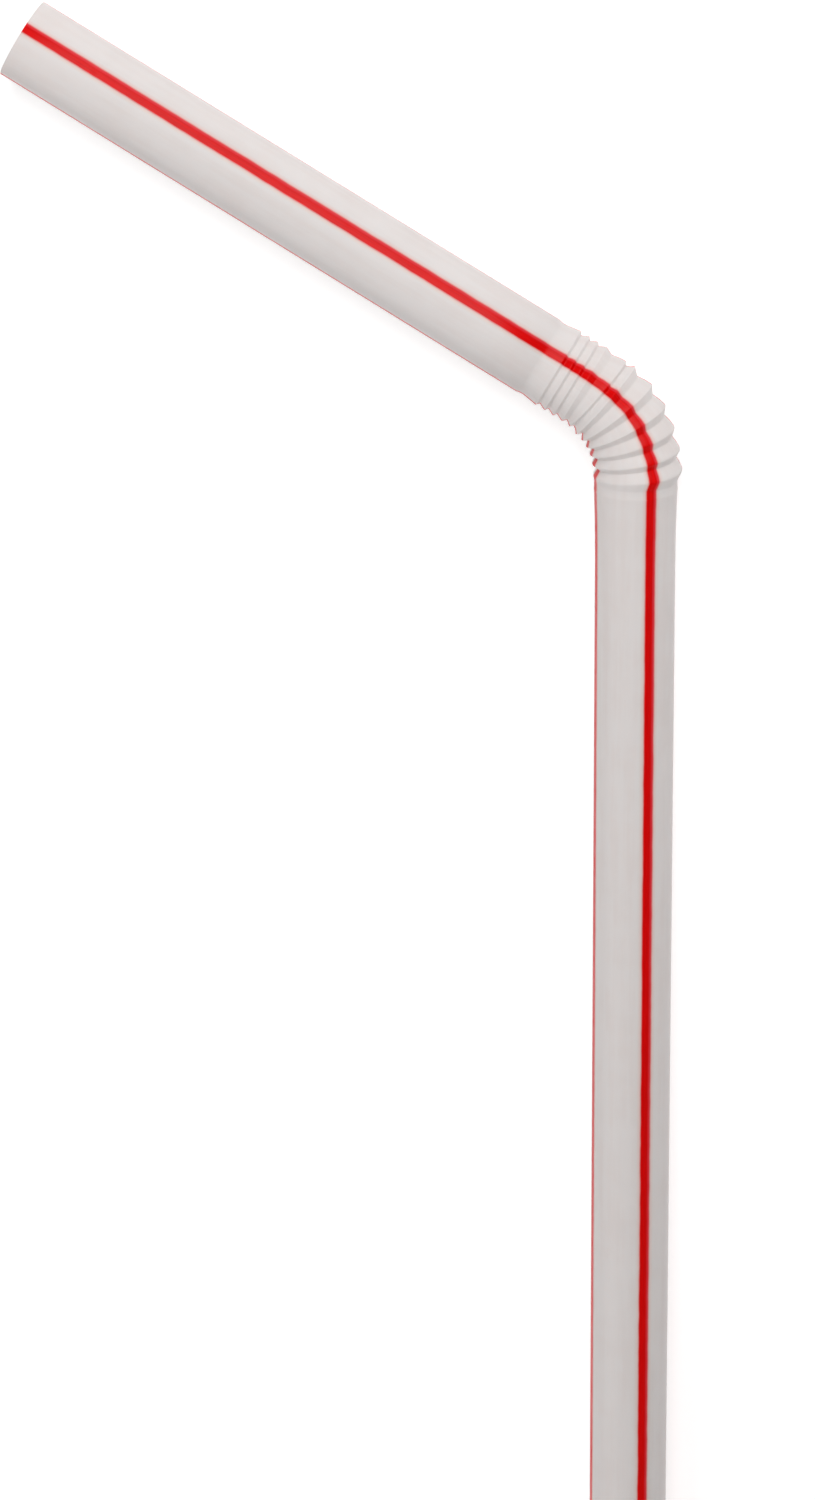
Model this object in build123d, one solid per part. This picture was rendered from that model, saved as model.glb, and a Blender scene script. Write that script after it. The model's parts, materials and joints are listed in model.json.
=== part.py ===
from build123d import *
import math
import os

# A bendy drinking straw: one length of thin plastic tube with a short mouth arm, a formed bellows
# that holds the bend, and a long leg.  It lies on its side with the bend flat, the leg's free end
# toward +X and the mouth end toward -X and -Y.  Millimetres.

# The tube
straw_length = 200.0        # along the middle of the tube, from one cut end to the other
tube_od = 6.0               # as extruded, and still so on the long leg
wall = 0.2
arm_length = 45.5           # from the mouth end to where the first ridge starts to flare
formed_growth = 0.2         # the forming mandrel leaves the worked end this much wider
taper_length = 7.0          # over which the leg narrows back to the extruded size

# The bellows.  Ridges count from the mouth arm.  Each flares out slowly toward the leg and then
# drops back steeply; a shut fold tucks the drop away, and a fold pulled open shows all of it.
ridge_count = 11
bend_angle = 60.0           # between the arm's line and the leg's
fold_share = {4: 10, 6: 11, 7: 11, 8: 10, 9: 8, 10: 6, 11: 4}    # open folds: each one's part of the bend
root_depth = 0.17           # a root below the tube beside it, on the radius
shut_ridge = 0.1            # a ridge above the tube, on the radius, among the shut folds
open_ridge = 0.23           # and among the open ones
first_open_ridge = 6
ridge_land = 0.1            # the narrow blunt top of a ridge
shoulder_length = 0.92      # flare from the arm up to the first ridge
shut_pitch = 0.75           # ridge to ridge along the middle line
open_pitch = 1.22
shut_drop = 0.1             # the steep face of a ridge, along the middle line
open_drop = 0.36
last_drop = 0.5             # from the last ridge down to the leg
leg_offset = 0.17           # the open folds are pushed this far outside the leg's line

formed_radius = (tube_od + formed_growth) / 2
root_radius = formed_radius - root_depth
bend_share = bend_angle / sum(fold_share.values())


def ridge_radius(ridge):
    return formed_radius + (open_ridge if ridge >= first_open_ridge else shut_ridge)


def corner_offset():
    """How far back and how far in a shut ridge's inside corner lies from its outside corner."""
    depth = shut_ridge + root_depth
    rise = math.atan2(depth, shut_pitch - shut_drop - ridge_land)
    fall = math.atan2(depth, shut_drop)
    mitre = wall / (1 + math.cos(rise + fall))
    return mitre * (math.sin(fall) - math.sin(rise)), mitre * (math.cos(fall) + math.cos(rise))


def step(place, advance, turn=0.0, outward=0.0):
    """Go along the middle line, sharing a turn between both ends of the move, then aside."""
    x, y, heading = place
    ahead = math.radians(heading - turn / 2)
    x, y, heading = x + advance * math.cos(ahead), y + advance * math.sin(ahead), heading - turn
    aside = math.radians(heading + 90)
    return x + outward * math.cos(aside), y + outward * math.sin(aside), heading


def ring(place, radius, back=0.0):
    """A circle square across the tube at one place on its middle line."""
    x, y, heading = place
    along = Vector(math.cos(math.radians(heading)), math.sin(math.radians(heading)), 0)
    centre = Vector(x, y, 0) - along * back
    return Wire.make_circle(radius, Plane(origin=centre, x_dir=(0, 0, 1), z_dir=along))


def fold_sizes(ridge):
    """Pitch, drop and turn of the fold that follows a ridge."""
    turn = fold_share.get(ridge, 0) * bend_share
    if ridge == ridge_count:
        return last_drop, last_drop, turn
    return (open_pitch, open_drop, turn) if ridge in fold_share else (shut_pitch, shut_drop, turn)


def bellows(place, outside, inside):
    """Add the rings of every ridge and root, and return the place where the leg begins."""
    back, inward = corner_offset()
    place = step(place, shoulder_length)
    for ridge in range(1, ridge_count + 1):
        outside.append(ring(place, ridge_radius(ridge)))
        place = step(place, ridge_land)
        outside.append(ring(place, ridge_radius(ridge)))
        inside.append(ring(place, ridge_radius(ridge) - inward, back))
        pitch, drop, turn = fold_sizes(ridge)
        if ridge == ridge_count:
            return step(place, drop, turn, outward=-leg_offset)
        place = step(place, drop, turn * drop / pitch)
        outside.append(ring(place, root_radius))
        inside.append(ring(place, root_radius - inward, back))
        place = step(place, pitch - drop - ridge_land, turn * (1 - drop / pitch))


def bellows_length():
    """Length of the middle line from the arm's end to the leg's start."""
    folds = sum(fold_sizes(ridge)[0] for ridge in range(1, ridge_count + 1))
    return shoulder_length + folds + ridge_land


def make_straw():
    """The tube's outside less its inside, each a run of rings from the mouth to the leg's free end."""
    outside, inside = [], []

    def tube_ring(place, radius):
        outside.append(ring(place, radius))
        inside.append(ring(place, radius - wall))

    place = (0.0, 0.0, bend_angle)
    tube_ring(place, formed_radius)
    place = step(place, arm_length)
    tube_ring(place, formed_radius)
    place = bellows(place, outside, inside)
    tube_ring(place, formed_radius)
    place = step(place, taper_length)
    tube_ring(place, tube_od / 2)
    place = step(place, straw_length - arm_length - bellows_length() - taper_length)
    tube_ring(place, tube_od / 2)
    return Solid.make_loft(outside, ruled=True) - Solid.make_loft(inside, ruled=True)


straw = make_straw()
box = straw.bounding_box()
straw = Pos(-box.center().X, -box.center().Y, -box.min.Z) * straw
straw.label = "straw"

os.makedirs("parts", exist_ok=True)
export_step(straw, "parts/straw.step")
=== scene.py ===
import json
from math import acos, cos, radians, sin

import bmesh
import bpy
from mathutils import Matrix, Vector


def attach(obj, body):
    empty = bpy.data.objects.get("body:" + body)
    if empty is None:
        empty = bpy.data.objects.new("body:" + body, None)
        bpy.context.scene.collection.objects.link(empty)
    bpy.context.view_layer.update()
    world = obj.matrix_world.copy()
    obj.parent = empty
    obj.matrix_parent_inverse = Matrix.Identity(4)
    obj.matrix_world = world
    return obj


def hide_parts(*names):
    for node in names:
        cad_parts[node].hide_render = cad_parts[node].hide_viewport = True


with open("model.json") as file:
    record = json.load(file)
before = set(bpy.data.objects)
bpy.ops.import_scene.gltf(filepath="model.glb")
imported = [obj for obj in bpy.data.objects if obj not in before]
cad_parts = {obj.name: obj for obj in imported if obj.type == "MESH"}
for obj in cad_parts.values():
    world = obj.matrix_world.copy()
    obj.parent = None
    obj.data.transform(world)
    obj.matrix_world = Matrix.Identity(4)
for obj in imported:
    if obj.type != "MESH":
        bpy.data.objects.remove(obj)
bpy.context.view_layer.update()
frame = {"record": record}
MM = 0.001

# ---------------------------------------------------------------------------------------------
# The straw's tube.  A bendy straw is one length of thin white polypropylene tube, extruded through
# a ring-shaped die and cut at both ends.  The bellows is rolled into its own wall, so it stays one
# piece.  Sizes are in metres.
mounts = {mount["name"]: mount for mount in frame["record"]["mounts"]}
leg = mounts["leg_outside"]
arm = mounts["mouth_outside"]
leg_radius = leg["dims"]["r_mm"] * MM
leg_length = leg["dims"]["length_mm"] * MM
arm_radius = arm["dims"]["r_mm"] * MM
arm_length = arm["dims"]["length_mm"] * MM
wall = arm_radius - mounts["mouth_bore"]["dims"]["r_mm"] * MM
mouth_end = Vector(arm["pos_m"]) + Vector(arm["axis"]) * arm_length / 2
bend = acos(-Vector(arm["axis"]).dot(Vector(leg["axis"])))
taper_length = 7.0 * MM         # the leg narrows here from the formed size to the extruded size
taper_rings = 8                 # that the narrowing is drawn with
ring_spacing = 5.0 * MM         # between the rings that carry the finish along a plain stretch
around = 128                    # faces round the tube
cut_edge = 0.03 * MM            # the knife leaves the cut ends this slightly rounded


def step(place, advance, turn=0.0, outward=0.0):
    """Go along the tube's middle line, sharing a turn between both ends of the move, then aside."""
    half_turn = Matrix.Rotation(turn / 2, 4, "X")
    there = place @ half_turn @ Matrix.Translation((0, 0, advance)) @ half_turn
    return there @ Matrix.Translation((0, outward, 0))


class Skin:
    """One skin of the tube, drawn along it ring by ring from an open circle."""

    def __init__(self, bm, place, radius):
        self.bm = bm
        self.run = bm.verts.layers.float_vector["run"]
        self.ring = bmesh.ops.create_circle(bm, segments=around, radius=1.0)["verts"]
        for vert in self.ring:
            vert[self.run] = (-vert.co.x, vert.co.y, 0.0)
        self.edges = list(dict.fromkeys(edge for vert in self.ring for edge in vert.link_edges))
        self.first_edges = self.edges
        self.faces = []
        self.form = Matrix.Identity(4)
        self.distance = 0.0
        self.twist = 0.0
        self.shape(place, radius)

    def shape(self, place, radius):
        """Carry the last ring to a place on the middle line, at a radius."""
        form = place @ Matrix.Rotation(self.twist, 4, "Z") @ Matrix.Diagonal((radius, radius, 1.0, 1.0))
        bmesh.ops.transform(self.bm, matrix=form @ self.form.inverted(), verts=self.ring)
        self.form = form

    def draw(self, place, radius):
        """Extrude the skin to the next ring, and return its loop of edges."""
        self.distance += (place.translation - self.form.translation).length
        drawn = bmesh.ops.extrude_edge_only(self.bm, edges=self.edges)["geom"]
        self.ring = [part for part in drawn if isinstance(part, bmesh.types.BMVert)]
        self.faces += [part for part in drawn if isinstance(part, bmesh.types.BMFace)]
        fresh = set(self.ring)
        self.edges = [part for part in drawn if isinstance(part, bmesh.types.BMEdge)
                      and fresh.issuperset(part.verts)]
        for vert in self.ring:
            vert[self.run].z = self.distance
        self.shape(place, radius)
        return self.edges

    def draw_plain(self, place, length, radius, end_radius=None):
        """Draw a straight stretch, easing to another radius if one is given."""
        count = max(1, round(length / ring_spacing)) if end_radius is None else taper_rings
        end_radius = radius if end_radius is None else end_radius
        for part in range(1, count + 1):
            left = (1 - part / count) ** 2
            self.draw(step(place, length * part / count), end_radius + (radius - end_radius) * left)
        return step(place, length)


# ---------------------------------------------------------------------------------------------
# The bellows.  Rollers press eleven rings into the tube's wall, each flaring slowly toward the leg
# and dropping back steeply.  Bending pulls seven of the folds open; the rest stay shut.
ridge_count = 11
fold_share = {4: 10, 6: 11, 7: 11, 8: 10, 9: 8, 10: 6, 11: 4}    # open folds: each one's part of the bend
first_open_ridge = 6
root_radius = arm_radius - 0.17 * MM
shut_radius = arm_radius + 0.10 * MM
open_radius = arm_radius + 0.23 * MM
land = 0.10 * MM
shoulder_length = 0.92 * MM
shut_pitch = 0.75 * MM
open_pitch = 1.22 * MM
shut_drop = 0.10 * MM
open_drop = 0.36 * MM
last_drop = 0.50 * MM
leg_offset = 0.17 * MM          # the open folds are pushed this far outside the leg's line
fold_twist = radians(2.2) / ridge_count     # each fold lets the tube turn a little about itself
neck_length = 0.80 * MM         # the rollers' edge leaves a shallow neck at the end of the arm
neck_depth = 0.08 * MM
neck_line = 0.05 * MM           # that begins with a fine crisp line
# how far along each ring of the neck lies, and its share of the neck's depth
neck_shape = ((neck_line, 0.5), (neck_length * 0.4, 0.85), (neck_length * 0.7, 1.0))
mark_height = 0.025 * MM        # the forming mandrel leaves a fine raised ring on the leg
mark_width = 0.24 * MM
mark_distance = 0.55 * MM
flare_middle = 0.55             # the share of a flare at which it stands proud of straight
flare_bulge = 0.06              # by this share of its height
sharp_round = 0.035 * MM        # rounding of the ridges beside the arm
soft_round = 0.10 * MM          # and of those beside the leg
first_soft_ridge = 9
root_round = 0.07 * MM
neck_round = 0.16 * MM
inner_back = 0.11 * MM          # a fold's inside corner lies this far back from its outside one
inner_depth = 0.277 * MM        # and this far in


def fold_sizes(ridge):
    """Pitch, drop and turn of the fold that follows a ridge."""
    turn = bend * fold_share.get(ridge, 0) / sum(fold_share.values())
    if ridge == ridge_count:
        return last_drop, last_drop, turn
    return (open_pitch, open_drop, turn) if ridge in fold_share else (shut_pitch, shut_drop, turn)


def draw_neck(skin, place, radius):
    """Draw the shallow neck at the end of the arm; returns where the arm ends, and what to round."""
    for along, share in neck_shape:
        narrowest = skin.draw(step(place, along), radius - neck_depth * share)
    return step(place, neck_length), (narrowest, neck_round)


def draw_mark(skin, place):
    """Draw the fine raised ring on the leg; returns where it ends."""
    for part, height in ((0.0, 0.0), (0.5, mark_height), (1.0, 0.0)):
        skin.draw(step(place, mark_distance + mark_width * part), arm_radius + height)
    return step(place, mark_distance + mark_width)


def draw_outer_folds(skin, place):
    """Draw the bellows' outside; returns where the leg begins, and each loop to round and how much."""
    loops = []
    place = step(place, shoulder_length)
    for ridge in range(1, ridge_count + 1):
        radius = open_radius if ridge >= first_open_ridge else shut_radius
        softness = soft_round if ridge >= first_soft_ridge else sharp_round
        skin.twist += fold_twist
        loops.append((skin.draw(place, radius), softness))
        pitch, drop, turn = fold_sizes(ridge)
        if ridge == ridge_count:
            place = step(place, land + drop, turn, outward=-leg_offset)
            loops.append((skin.draw(place, arm_radius), root_round))
            return place, loops
        place = step(place, land + drop, turn * drop / pitch)
        loops.append((skin.draw(place, root_radius), root_round))
        flare = pitch - drop - land
        flare_turn = turn * (1 - drop / pitch)
        rise = radius - root_radius
        proud = step(place, flare * flare_middle, flare_turn * flare_middle)
        skin.draw(proud, root_radius + rise * (flare_middle + flare_bulge))
        place = step(proud, flare * (1 - flare_middle), flare_turn * (1 - flare_middle))


def draw_inner_folds(skin, place):
    """Draw the bellows' inside, one wall away from the outside; returns where the leg begins."""
    place = step(place, shoulder_length)
    for ridge in range(1, ridge_count + 1):
        radius = open_radius if ridge >= first_open_ridge else shut_radius
        skin.twist += fold_twist
        skin.draw(step(place, land - inner_back), radius - inner_depth)
        pitch, drop, turn = fold_sizes(ridge)
        if ridge == ridge_count:
            return step(place, land + drop, turn, outward=-leg_offset)
        place = step(place, land + drop, turn * drop / pitch)
        skin.draw(step(place, -inner_back), root_radius - inner_depth)
        place = step(place, pitch - drop - land, turn * (1 - drop / pitch))


def make_straw():
    """Draw both skins from the mouth end to the leg's free end and close the two cut ends."""
    bm = bmesh.new()
    bm.verts.layers.float_vector.new("run")
    along_leg = Matrix.Rotation(radians(90.0), 4, "Y")
    mouth = Matrix.Translation(mouth_end) @ Matrix.Rotation(bend, 4, "Z") @ along_leg

    outer = Skin(bm, mouth, arm_radius)
    place = outer.draw_plain(mouth, arm_length - neck_length, arm_radius)
    place, neck = draw_neck(outer, place, arm_radius)
    place, loops = draw_outer_folds(outer, place)
    place = draw_mark(outer, place)
    place = outer.draw_plain(place, taper_length - mark_distance - mark_width, arm_radius, leg_radius)
    outer.draw_plain(place, leg_length, leg_radius)

    inner = Skin(bm, mouth, arm_radius - wall)
    place = inner.draw_plain(mouth, arm_length - neck_length, arm_radius - wall)
    place = draw_neck(inner, place, arm_radius - wall)[0]
    place = draw_inner_folds(inner, place)
    inner.draw(place, arm_radius - wall)
    place = inner.draw_plain(place, taper_length, arm_radius - wall, leg_radius - wall)
    inner.draw_plain(place, leg_length, leg_radius - wall)
    bmesh.ops.reverse_faces(bm, faces=inner.faces)

    rims = outer.first_edges + inner.first_edges + outer.edges + inner.edges
    bmesh.ops.bridge_loops(bm, edges=outer.first_edges + inner.first_edges)
    bmesh.ops.bridge_loops(bm, edges=outer.edges + inner.edges)
    bmesh.ops.recalc_face_normals(bm, faces=bm.faces)
    for loop, rounding in loops + [neck]:
        bmesh.ops.bevel(bm, geom=loop, offset=rounding, offset_type="OFFSET", affect="EDGES",
                        segments=3, profile=0.5, material=-1, clamp_overlap=True)
    bmesh.ops.bevel(bm, geom=rims, offset=cut_edge, offset_type="OFFSET", affect="EDGES",
                    segments=2, profile=0.5, material=-1, clamp_overlap=True)
    for face in bm.faces:
        face.smooth = True
    mesh = bpy.data.meshes.new("straw_tube")
    bm.to_mesh(mesh)
    bm.free()
    return mesh


straw = bpy.data.objects.new("straw_tube", make_straw())
bpy.context.scene.collection.objects.link(straw)
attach(straw, "root")
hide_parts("straw")

# ---------------------------------------------------------------------------------------------
# The plastic.  Milky polypropylene, a little glossy, with four red stripes extruded in the wall's
# skin, about a quarter turn apart, that follow the tube through every fold.  Its patterns are laid
# out in millimetres along and round the tube.
plastic_colour = (0.865, 0.805, 0.787, 1.0)
thin_colour = (0.845, 0.773, 0.751, 1.0)        # where the wall came out a little thinner
stripe_colour = (0.82, 0.0, 0.0, 1.0)
dark_stripe_colour = (0.74, 0.0, 0.0, 1.0)      # where the stripe came out thicker
stripe_sheen_colour = (0.84, 0.045, 0.060, 1.0)  # painted sheen of the lamp on each stripe's outer half
painted_glow_colour = (0.88, 0.50, 0.43, 1.0)          # painted glow of red light through the wall
stripe_angles = (33.5, 111.0, 211.0, -65.0)     # degrees round the tube from its upper side outward
stripe_half_width = 0.42
stripe_soft = 0.10              # its edges melt into the white over this much
stripe_wander = 0.05            # and wander from side to side by this much
wander_length = 2.0             # along the stripe
stripe_sheen_span = (0.12, 0.32)      # from its middle to where its painted sheen begins, and is full
painted_glow_width = 0.38
painted_glow_strength = 0.45
streaks_round = 5.0             # how fine the die's streaks are, round the tube
fine_streaks_round = 25.0       # and the finest of them
streak_length = 60.0
cloud_size = 3.5                # of the cloudiness in the milky plastic
scuff_size = 0.6                # of the fine handling marks
thin_range = (0.42, 0.62)       # the noise at which the wall begins to be thin, and is wholly thin
thick_range = (0.40, 0.62)      # the same for the thick streaks of a stripe
scuff_range = (0.52, 0.70)      # and for the scuffs
polish = 0.26                   # roughness where nothing has dulled the plastic
dulling = 0.10                  # what the streaks and the scuffs each add to it
streak_relief = 0.25            # how much each pattern stands out of the surface
cloud_relief = 0.8
scuff_relief = 0.12
relief_height = 0.02 * MM


class Value:
    """A shader socket that adds its Math nodes as it is used in a sum."""

    def __init__(self, paint, socket):
        self.paint = paint
        self.socket = socket

    def math(self, operation, *others):
        sockets = [self.socket] + [getattr(other, "socket", other) for other in others]
        node = self.paint.add("ShaderNodeMath", {"operation": operation}, dict(enumerate(sockets)))
        return Value(self.paint, node.outputs[0])

    def __add__(self, other):
        return self.math("ADD", other)

    __radd__ = __add__

    def __mul__(self, other):
        return self.math("MULTIPLY", other)

    __rmul__ = __mul__

    def __sub__(self, other):
        return self.math("SUBTRACT", other)

    def __rsub__(self, other):
        return (self * -1.0) + other

    def __truediv__(self, other):
        return self.math("DIVIDE", other)


class Paint:
    """A material and the one way that nodes are added to it."""

    def __init__(self, name):
        self.material = bpy.data.materials.new(name)
        self.material.use_nodes = True
        self.tree = self.material.node_tree
        self.shader = self.tree.nodes["Principled BSDF"]

    def add(self, kind, settings=None, inputs=None):
        node = self.tree.nodes.new(kind)
        for name, setting in (settings or {}).items():
            setattr(node, name, setting)
        for name, given in (inputs or {}).items():
            self.feed(node, name, given)
        return node

    def feed(self, node, name, given):
        given = getattr(given, "socket", given)
        if isinstance(given, bpy.types.NodeSocket):
            self.tree.links.new(given, node.inputs[name])
        else:
            node.inputs[name].default_value = given

    def number(self, node, name="Fac"):
        return Value(self, node.outputs[name])

    def mix(self, share, first, second):
        """The first colour where the share is 0, and the second where it is 1."""
        node = self.add("ShaderNodeMix", {"data_type": "RGBA"}, {0: share, 6: first, 7: second})
        return Value(self, node.outputs[2])

    def ramp(self, value, low, high):
        """0 below low, 1 above high, and smooth between."""
        node = self.add("ShaderNodeMapRange", {"interpolation_type": "SMOOTHSTEP"},
                        {"Value": value, "From Min": low, "From Max": high})
        return Value(self, node.outputs["Result"])


def across_stripe(top, side, angle):
    """Millimetres round the tube from a stripe's middle, growing toward the outside of the bend."""
    toward = top * cos(radians(angle)) + side * sin(radians(angle))
    away = side * cos(radians(angle)) - top * sin(radians(angle))
    return away.math("ARCTAN2", toward) * (arm_radius / MM)


def nearest(values):
    """Of several distances with a sign, the one nearest to nought."""
    least = values[0]
    for value in values[1:]:
        closer = least.math("ABSOLUTE").math("LESS_THAN", value.math("ABSOLUTE"))
        least = least * closer + value * (1 - closer)
    return least


def noise(paint, vector, scale, detail):
    """Smooth noise about one half, its contrast left to whoever uses it."""
    node = paint.add("ShaderNodeTexNoise", {"noise_dimensions": "3D"},
                     {"Vector": vector, "Scale": scale, "Detail": detail, "Roughness": 0.55})
    return paint.number(node)


def make_plastic():
    paint = Paint("striped_plastic")
    run = paint.add("ShaderNodeAttribute", {"attribute_name": "run"})
    parts = paint.add("ShaderNodeSeparateXYZ", inputs={0: run.outputs["Vector"]})
    top, side, along = (paint.number(parts, name) for name in "XYZ")
    along = along / MM
    round_tube = paint.add("ShaderNodeCombineXYZ", inputs={"X": top, "Y": side, "Z": along / streak_length})
    in_wall = paint.add("ShaderNodeCombineXYZ", inputs={"X": top * (arm_radius / MM),
                                                        "Y": side * (arm_radius / MM), "Z": along})
    streaks = noise(paint, round_tube.outputs[0], streaks_round, 3.0)
    fine_streaks = noise(paint, round_tube.outputs[0], fine_streaks_round, 2.0)
    clouds = noise(paint, in_wall.outputs[0], 1 / cloud_size, 3.0)
    scuffs = noise(paint, in_wall.outputs[0], 1 / scuff_size, 4.0)

    wander = (noise(paint, in_wall.outputs[0], 1 / wander_length, 2.0) - 0.5) * (2 * stripe_wander)
    across = nearest([across_stripe(top, side, angle) for angle in stripe_angles]) + wander
    distance = across.math("ABSOLUTE")
    cover = 1 - paint.ramp(distance, stripe_half_width - stripe_soft, stripe_half_width + stripe_soft)
    # A painted pink glow beside each stripe, standing in for red light scattered through the milky wall.
    painted_glow = 1 - paint.ramp(distance, stripe_half_width, stripe_half_width + painted_glow_width)

    thinness = paint.ramp(streaks * 0.5 + clouds * 0.5, *thin_range)
    milky = paint.mix(thinness, plastic_colour, thin_colour)
    red = paint.mix(paint.ramp(fine_streaks, *thick_range), stripe_colour, dark_stripe_colour)
    # A painted lamp reflection: each stripe is a paler red on its half toward the outside of the bend, the
    # lamp's side.
    red = paint.mix(paint.ramp(across, *stripe_sheen_span), red, stripe_sheen_colour)
    # the painted pink glow is mixed into the milky colour here
    colour = paint.mix(painted_glow * painted_glow_strength, milky, painted_glow_colour)
    colour = paint.mix(cover, colour, red)
    paint.feed(paint.shader, "Base Color", colour)
    dulled = streaks * dulling + paint.ramp(scuffs, *scuff_range) * dulling
    paint.feed(paint.shader, "Roughness", dulled + polish)
    relief = fine_streaks * streak_relief + clouds * cloud_relief + scuffs * scuff_relief
    bump = paint.add("ShaderNodeBump", inputs={"Strength": 0.5, "Distance": relief_height,
                                               "Height": relief})
    paint.feed(paint.shader, "Normal", bump.outputs["Normal"])
    paint.feed(paint.shader, "IOR", 1.49)
    paint.feed(paint.shader, "Specular IOR Level", 0.12)
    paint.feed(paint.shader, "Subsurface Weight", 0.3)
    paint.feed(paint.shader, "Subsurface Radius", (1.0, 0.85, 0.8))
    paint.feed(paint.shader, "Subsurface Scale", 0.4 * MM)
    return paint.material


straw.data.materials.append(make_plastic())

# ---------------------------------------------------------------------------------------------
# The table under the straw: a plain white sheet of paper that keeps the straw's soft shadow.  It is
# not part of the straw.
sheet_size = 3.0
sheet_glow = 0.45               # how much whiter than its own light the sheet looks
sheet = bmesh.new()
bmesh.ops.create_grid(sheet, x_segments=1, y_segments=1, size=sheet_size)
sheet_mesh = bpy.data.meshes.new("white_sheet")
sheet.to_mesh(sheet_mesh)
sheet.free()
white_sheet = bpy.data.objects.new("white_sheet", sheet_mesh)
bpy.context.scene.collection.objects.link(white_sheet)
sheet_paint = Paint("white_paper")
sheet_paint.feed(sheet_paint.shader, "Base Color", (0.98, 0.98, 0.98, 1.0))
sheet_paint.feed(sheet_paint.shader, "Roughness", 0.9)
sheet_paint.feed(sheet_paint.shader, "Specular IOR Level", 0.0)
light_path = sheet_paint.add("ShaderNodeLightPath")
seen = sheet_paint.number(light_path, "Is Camera Ray")
for kind in ("Is Glossy Ray", "Is Transmission Ray"):
    seen = seen.math("MAXIMUM", sheet_paint.number(light_path, kind))
sheet_paint.feed(sheet_paint.shader, "Emission Color", (1.0, 1.0, 1.0, 1.0))
sheet_paint.feed(sheet_paint.shader, "Emission Strength", seen * sheet_glow)
white_sheet.data.materials.append(sheet_paint.material)

# ---------------------------------------------------------------------------------------------
# The light: a soft lamp high on the outer side of the mouth arm, a weaker one on the inner side of
# the bend, and an even white room.  Both lamps are aimed just beside the mouth.
room_light = 0.285
lamp_target = mouth_end * 0.8


def light_softly(name, place, size, power):
    """Hang a round soft lamp at a place and aim it."""
    lamp_data = bpy.data.lights.new(name, "AREA")
    lamp_data.shape = "DISK"
    lamp_data.size = size
    lamp_data.energy = power
    lamp = bpy.data.objects.new(name, lamp_data)
    lamp.location = place
    lamp.rotation_euler = (lamp_target - Vector(place)).to_track_quat("-Z", "Y").to_euler()
    bpy.context.scene.collection.objects.link(lamp)


light_softly("main_lamp", (-0.25, 0.07, 0.262), 0.24, 0.66)
light_softly("fill_lamp", (0.20, -0.22, 0.22), 0.30, 0.32)

room = bpy.data.worlds.new("room")
room.use_nodes = True
room.node_tree.nodes["Background"].inputs["Color"].default_value = (1.0, 1.0, 1.0, 1.0)
room.node_tree.nodes["Background"].inputs["Strength"].default_value = room_light
bpy.context.scene.world = room
bpy.context.scene.view_settings.view_transform = "Standard"

# ---------------------------------------------------------------------------------------------
# The camera looks down on the lying straw from over its bend, far off through a long lens, turned
# so that the leg runs down the picture.
view_azimuth = 152.46           # degrees round from +X to where the camera stands
view_elevation = 66.53
view_roll = -150.70             # the turn about the line of sight
view_distance = 478.3 * MM
view_centre = Vector((-31.58, 4.69, 3.35)) * MM
view_lens = 151.2

camera_data = bpy.data.cameras.new("camera")
camera_data.sensor_width = 36.0
camera_data.lens = view_lens
camera_data.clip_start = 0.01
camera = bpy.data.objects.new("camera", camera_data)
outward = Vector((cos(radians(view_elevation)) * cos(radians(view_azimuth)),
                  cos(radians(view_elevation)) * sin(radians(view_azimuth)), sin(radians(view_elevation))))
turned = outward.to_track_quat("Z", "Y").to_matrix().to_4x4() @ Matrix.Rotation(radians(view_roll), 4, "Z")
camera.matrix_world = Matrix.Translation(view_centre + outward * view_distance) @ turned
bpy.context.scene.collection.objects.link(camera)
bpy.context.scene.camera = camera

bpy.context.view_layer.update()
